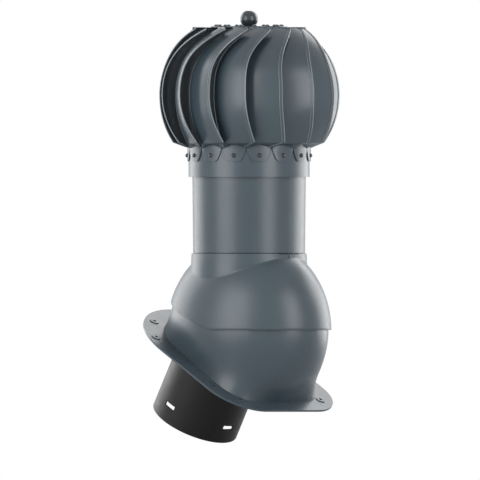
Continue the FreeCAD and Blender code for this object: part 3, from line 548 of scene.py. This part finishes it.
# %% Rivet heads
HEAD_RADIUS = 3.2
HEAD_SEGMENTS, HEAD_RINGS = 20, 12
NECK_HEAD_TALL, CROWN_HEAD_TALL = 3.6, 2.4
NECK_HEAD_HEIGHT = -0.7
CROWN_HEAD_AT, CROWN_HEAD_HEIGHT = 46.2, 180.5


def rivet_row(name, node, place_of, turns, look, tall):
    """A ring of rivet heads as one piece, with one head at each turn about the axle."""
    mesh = bmesh.new()
    flat = Matrix.Diagonal((1, 1, tall / HEAD_RADIUS, 1))
    for turn in turns:
        made = bmesh.ops.create_uvsphere(mesh, u_segments=HEAD_SEGMENTS, v_segments=HEAD_RINGS,
                                         radius=HEAD_RADIUS * MM)
        bmesh.ops.transform(mesh, verts=made["verts"], matrix=about_axle(turn) @ place_of @ flat)
    piece = finished(mesh, name, [look], crease=60.0)
    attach(piece, "rotor")
    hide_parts(node)
    return piece


outward = Matrix.Rotation(math.radians(90), 4, "Y")
on_petal = Matrix.Translation((PETAL_FRONT * MM, 0, NECK_HEAD_HEIGHT * MM)) @ outward
on_crown = Matrix.Translation((CROWN_HEAD_AT * MM, 0, CROWN_HEAD_HEIGHT * MM))
# The neck rivets take the darker paint, which is painted shade. The crown rivets keep the sheet's paint.
rivet_row("neck_heads", "neck_rivets", on_petal, VANE_ANGLES, rivet_painted_shade, NECK_HEAD_TALL)
piece = rivet_row("crown_heads", "crown_rivets", on_crown, VANE_ANGLES, paint, CROWN_HEAD_TALL)
print("faces in a ring of rivets", len(piece.data.polygons))

# %% [markdown]
# The hood is a barrel that lies on its side, turned about the tilting axis, and it rises into an
# upright sleeve for the pipe. Where the two meet, the real wall has a soft bend. Its rim is level
# down the slope and climbs up the slope, which leaves the hood room to tilt.
# A boolean of two solids with a bevel would leave uneven faces along that seam. Instead the wall
# is worked out in each direction, as a line of radius and height, and the lines are skinned.

# %% The hood's lines, in millimetres about the tilting axis
BARREL, SIDE = 129.5, 99.0
SLEEVE, SLEEVE_TOP, SLEEVE_WALL = 80.7, 107.1, 2.0
FLARE, FLARE_TALL = 3.2, 77.1
RIM_SLOPE = math.tan(math.radians(19.0))
RIM_CLIMBS, RIM_EASE = 19.0, 6.4
Skin = namedtuple("Skin", "inset lip bend_steps barrel_steps")
OUTSIDE = Skin(inset=0.0, lip=0.7, bend_steps=8, barrel_steps=30)
INSIDE = Skin(inset=2.5, lip=0.0, bend_steps=3, barrel_steps=12)


def barrel_radius(turn, z, inset):
    """How far the barrel's wall stands from the upright axis."""
    long, side = BARREL - inset, SIDE - inset
    flat = math.sqrt(max(1 - (z / long) ** 2, 0.0))
    return flat / math.hypot(math.cos(turn) / long, math.sin(turn) / side)


def sleeve_radius(z, skin):
    """The sleeve's radius. Outside it flares slightly towards the barrel."""
    if skin is OUTSIDE:
        return SLEEVE + FLARE * (SLEEVE_TOP - z) / FLARE_TALL
    return SLEEVE - SLEEVE_WALL


def rim_height(x):
    """The rim's height at a distance down the slope from the tilting axis."""
    if x >= RIM_CLIMBS + RIM_EASE:
        return 0.0
    if x <= RIM_CLIMBS - RIM_EASE:
        return (RIM_CLIMBS - x) * RIM_SLOPE
    return RIM_SLOPE * (RIM_CLIMBS + RIM_EASE - x) ** 2 / (4 * RIM_EASE)


print("rim", round(rim_height(-BARREL + RIM_EASE)), "mm up at the back")

# %% A line down the hood's wall
HALVINGS = 40
JOINT_LOWEST = 20.0
RIM_LOWEST, RIM_HIGHEST = -2.0, 80.0
BEND, BEND_MORE_AT_SIDES = 1.1, 0.9
SLEEVE_SHORTEST = 1.5


def meeting(test, low, high):
    """Where test changes sign between two heights, found by halving."""
    for _ in range(HALVINGS):
        middle = (low + high) / 2
        if test(middle) > 0:
            low = middle
        else:
            high = middle
    return (low + high) / 2


def hood_profile(turn, skin, top):
    """Radius and height of one side of the wall, from the sleeve's top to the rim."""
    def barrel(z):
        return barrel_radius(turn, z, skin.inset)

    joint = meeting(lambda z: barrel(z) - sleeve_radius(z, skin), JOINT_LOWEST, SLEEVE_TOP)
    rim = meeting(lambda z: rim_height(barrel(z) * math.cos(turn)) - z, RIM_LOWEST, RIM_HIGHEST)
    bend = BEND + BEND_MORE_AT_SIDES * math.sin(turn) ** 2
    above = min(joint + bend, top - SLEEVE_SHORTEST)
    below = joint - bend
    start = Vector((sleeve_radius(above, skin), above))
    corner = Vector((sleeve_radius(joint, skin), joint))
    end = Vector((barrel(below), below))
    points = [Vector((sleeve_radius(top, skin), top - skin.lip))]
    for i in range(skin.bend_steps + 1):
        u = i / skin.bend_steps
        points.append(start * (1 - u) ** 2 + corner * 2 * u * (1 - u) + end * u ** 2)
    last = rim + skin.lip
    for i in range(1, skin.barrel_steps + 1):
        z = below + (last - below) * i / skin.barrel_steps
        points.append(Vector((barrel(z), z)))
    return points, rim


print("points outside", len(hood_profile(0.0, OUTSIDE, SLEEVE_TOP)[0]))

# %% [markdown]
# A short row of notches in the sleeve's top faces down the slope. They are part of the same
# skin: the lines inside a notch start a little lower, and a close pair of lines at each side of
# it makes its upright walls. Cutting them out with booleans would give the thin lip stray faces.

# %% Notches and the closed wall
DIRECTIONS = 180
NOTCHES, NOTCH_DEEP = 9, 1.4
NOTCH_STEP, NOTCH_HALF = 4.4, 1.1
NOTCH_SIDE = 0.02
# How far the rounded edges lie inwards, and under the sleeve's top or over the rim.
LIP_ROUND = ((0.8, 0.0), (0.25, 0.2))
RIM_ROUND = ((0.2, 0.2), (0.7, 0.0))


def hood_turns():
    """Directions round the hood in degrees, and whether each lies in a notch."""
    turns = {round(360.0 / DIRECTIONS * i, 3): False for i in range(DIRECTIONS)}
    step = math.degrees(NOTCH_STEP / SLEEVE)
    half = math.degrees(NOTCH_HALF / SLEEVE)
    for i in range(NOTCHES):
        middle = (i - NOTCHES // 2) * step
        for way in (-1, 1):
            turns[round((middle + way * (half + NOTCH_SIDE)) % 360, 3)] = False
            turns[round((middle + way * (half - NOTCH_SIDE)) % 360, 3)] = True
        for turn in list(turns):
            if abs((turn - middle + 180) % 360 - 180) < half - NOTCH_SIDE:
                turns[turn] = True
    return sorted(turns.items())


def hood_line(turn, notched):
    """The wall's closed line in one direction: down its outside and up its inside."""
    top = SLEEVE_TOP - (NOTCH_DEEP if notched else 0.0)
    outside, rim = hood_profile(turn, OUTSIDE, top)
    inside, _ = hood_profile(turn, INSIDE, top)
    lip = outside[0].x
    edge = outside[-1].x
    line = [Vector((lip - inwards, top - under)) for inwards, under in LIP_ROUND] + outside
    line += [Vector((edge - inwards, rim + over)) for inwards, over in RIM_ROUND] + inside[::-1]
    return line


mesh = bmesh.new()
rings = []
for degrees, notched in hood_turns():
    turn = math.radians(degrees)
    rings.append([mesh.verts.new(PIVOT + Vector((p.x * math.cos(turn), p.x * math.sin(turn), p.y)) * MM)
                  for p in hood_line(turn, notched)])
skinned(mesh, rings + rings[:1])
hood_wall = finished(mesh, "hood_wall", [shell], crease=40.0)
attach(hood_wall, "upper")
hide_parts("hood")
print("faces in the hood", len(hood_wall.data.polygons))

# %% [markdown]
# Under the notches a small upright bar stands proud of the sleeve and marks where the hood is level. It is a
# bevelled cube in the paler paint, which is a painted highlight for the light that it catches, sunk a little into
# the sleeve's wall.

# %% Level mark
MARK_SIZE = (1.8, 1.6, 6.0)
MARK_PLACE = (81.3, 0, 102.0)
MARK_ROUND = 0.4
mark = bmesh.new()
bmesh.ops.create_cube(mark, size=1.0)
bmesh.ops.transform(mark, verts=mark.verts, matrix=Matrix.Diagonal((*(size * MM for size in MARK_SIZE), 1)))
bmesh.ops.bevel(mark, geom=mark.edges[:], offset=MARK_ROUND * MM, offset_type="OFFSET", segments=3,
                profile=0.5, affect="EDGES", material=-1)
bmesh.ops.translate(mark, verts=mark.verts, vec=PIVOT + Vector(MARK_PLACE) * MM)
# The mark's paler paint is a painted highlight.
level_mark = finished(mark, "level_mark", [pale_painted_light], crease=60.0)
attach(level_mark, "upper")
print("level mark", MARK_SIZE[2], "mm tall")

# %% [markdown]
# Inside, a ribbed hose joins the spigot, which is fixed to the roof, to the duct in the tilting hood. A copy of
# the frame's solid, in its shape at rest, is used in its place. A frame's mesh is loose triangles, so the copy's
# corners are merged before its faces are turned outwards.

# %% Hose
SAME_POINT = 0.001
mesh = bmesh.new()
mesh.from_mesh(nodes["flexible_connector"].data)
bmesh.ops.remove_doubles(mesh, verts=mesh.verts, dist=SAME_POINT * MM)
bent_hose = finished(mesh, "bent_hose", [hose], crease=40.0)
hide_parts("flexible_connector")
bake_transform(bent_hose)

# %% [markdown]
# The studio shows the part as a catalogue would. The camera and all reflections see a white
# background, but the light that it sheds on the part is a weak grey, so that the paint keeps its
# own colour. Painting a backdrop white and lighting it would wash the part out from all sides.
# Light Path tells the rays apart.

# %% Background
AMBIENT = (0.17, 0.175, 0.18)
WHITE = (1.0, 1.0, 1.0)
world = bpy.data.worlds.new("studio")
bpy.context.scene.world = world
world.use_nodes = True
tree = world.node_tree
background = tree.nodes["Background"]
path = tree.nodes.new("ShaderNodeLightPath")
seen = path.outputs["Is Camera Ray"]
for way in ("Is Glossy Ray", "Is Transmission Ray"):
    seen = maths(tree, "MAXIMUM", seen, path.outputs[way])
tree.links.new(mixed(tree, AMBIENT, WHITE, seen), background.inputs["Color"])
background.inputs["Strength"].default_value = 1.0
print("ambient light", AMBIENT)

# %% [markdown]
# A pale round floor lies just under the part and catches its shadow. It is only the setting.

# %% Floor
FLOOR = min(corner[2] for corner in start_box) - 2.0 * MM
FLOOR_RADIUS = 1.7
mesh = bmesh.new()
bmesh.ops.create_circle(mesh, cap_ends=True, segments=128, radius=FLOOR_RADIUS)
bmesh.ops.translate(mesh, verts=mesh.verts, vec=(0, 0, FLOOR))
floor_data = bpy.data.meshes.new("floor")
mesh.to_mesh(floor_data)
mesh.free()
pale = finish_of("floor", (0.78, 0.78, 0.78), tint=0.01, rough=(0.85, 0.95), grain=60.0)
floor_data.materials.append(pale)
floor = bpy.data.objects.new("floor", floor_data)
bpy.context.scene.collection.objects.link(floor)
print("floor at", round(FLOOR, 4), "m")

# %% [markdown]
# Satin paint shows its form by broad soft highlights, so the lamps are large. Two tall ones stand
# in front, one to each side, and draw the upright bands on the pipe. Two wide ones behind draw
# the bright rims, and a high one at the back lights the top. Their places are given as turns from
# the camera's side, so that they follow when CAMERA_TURN is changed.

# %% Lights
CAMERA_TURN = math.radians(45)
# The middle of the picture, and the way from there to the camera.
TARGET = PIVOT + Vector((-0.00901, -0.00901, 0.12594))
LOOK_FROM = Vector((math.sin(CAMERA_TURN), -math.cos(CAMERA_TURN), 0))


def soft_light(name, turn, up, distance, wide, tall, power):
    """A large soft light that faces the part, turned about it from the camera's side."""
    data = bpy.data.lights.new(name, "AREA")
    data.shape = "RECTANGLE"
    data.size = wide
    data.size_y = tall
    data.energy = power
    lamp = bpy.data.objects.new(name, data)
    bpy.context.scene.collection.objects.link(lamp)
    way = Matrix.Rotation(math.radians(turn), 3, "Z") @ LOOK_FROM
    lamp.location = TARGET + way * distance + Vector((0, 0, up))
    lamp.rotation_mode = "QUATERNION"
    lamp.rotation_quaternion = (lamp.location - TARGET).to_track_quat("Z", "Y")


soft_light("left_light", turn=-48, up=0.45, distance=2.0, wide=1.3, tall=2.0, power=31)
soft_light("right_light", turn=40, up=0.45, distance=2.0, wide=0.9, tall=2.0, power=23)
soft_light("left_rim", turn=-130, up=0.3, distance=2.2, wide=1.6, tall=2.4, power=34)
soft_light("right_rim", turn=127, up=0.3, distance=2.2, wide=1.7, tall=2.4, power=44)
soft_light("back_light", turn=162, up=1.5, distance=2.0, wide=1.6, tall=1.2, power=14)
print("lights", len(bpy.data.lights))

# %% [markdown]
# The photo has almost no perspective: upright edges stay upright, and level rims show as nearly
# straight lines. So the camera is level and parallel, turned 45 degrees from the slope. A long
# lens from far away would look nearly the same, but its scale would change with the distance.

# %% Camera
# 480 pixels of 1.4 mm.
PICTURE_WIDTH = 0.672
CAMERA_DISTANCE = 3.0
camera_data = bpy.data.cameras.new("camera")
camera_data.type = "ORTHO"
camera_data.ortho_scale = PICTURE_WIDTH
camera = bpy.data.objects.new("camera", camera_data)
bpy.context.scene.collection.objects.link(camera)
camera.location = TARGET + LOOK_FROM * CAMERA_DISTANCE
camera.rotation_mode = "QUATERNION"
camera.rotation_quaternion = LOOK_FROM.to_track_quat("Z", "Y")
bpy.context.scene.camera = camera
bpy.context.scene.view_settings.view_transform = "Standard"
print("picture", PICTURE_WIDTH, "m wide")
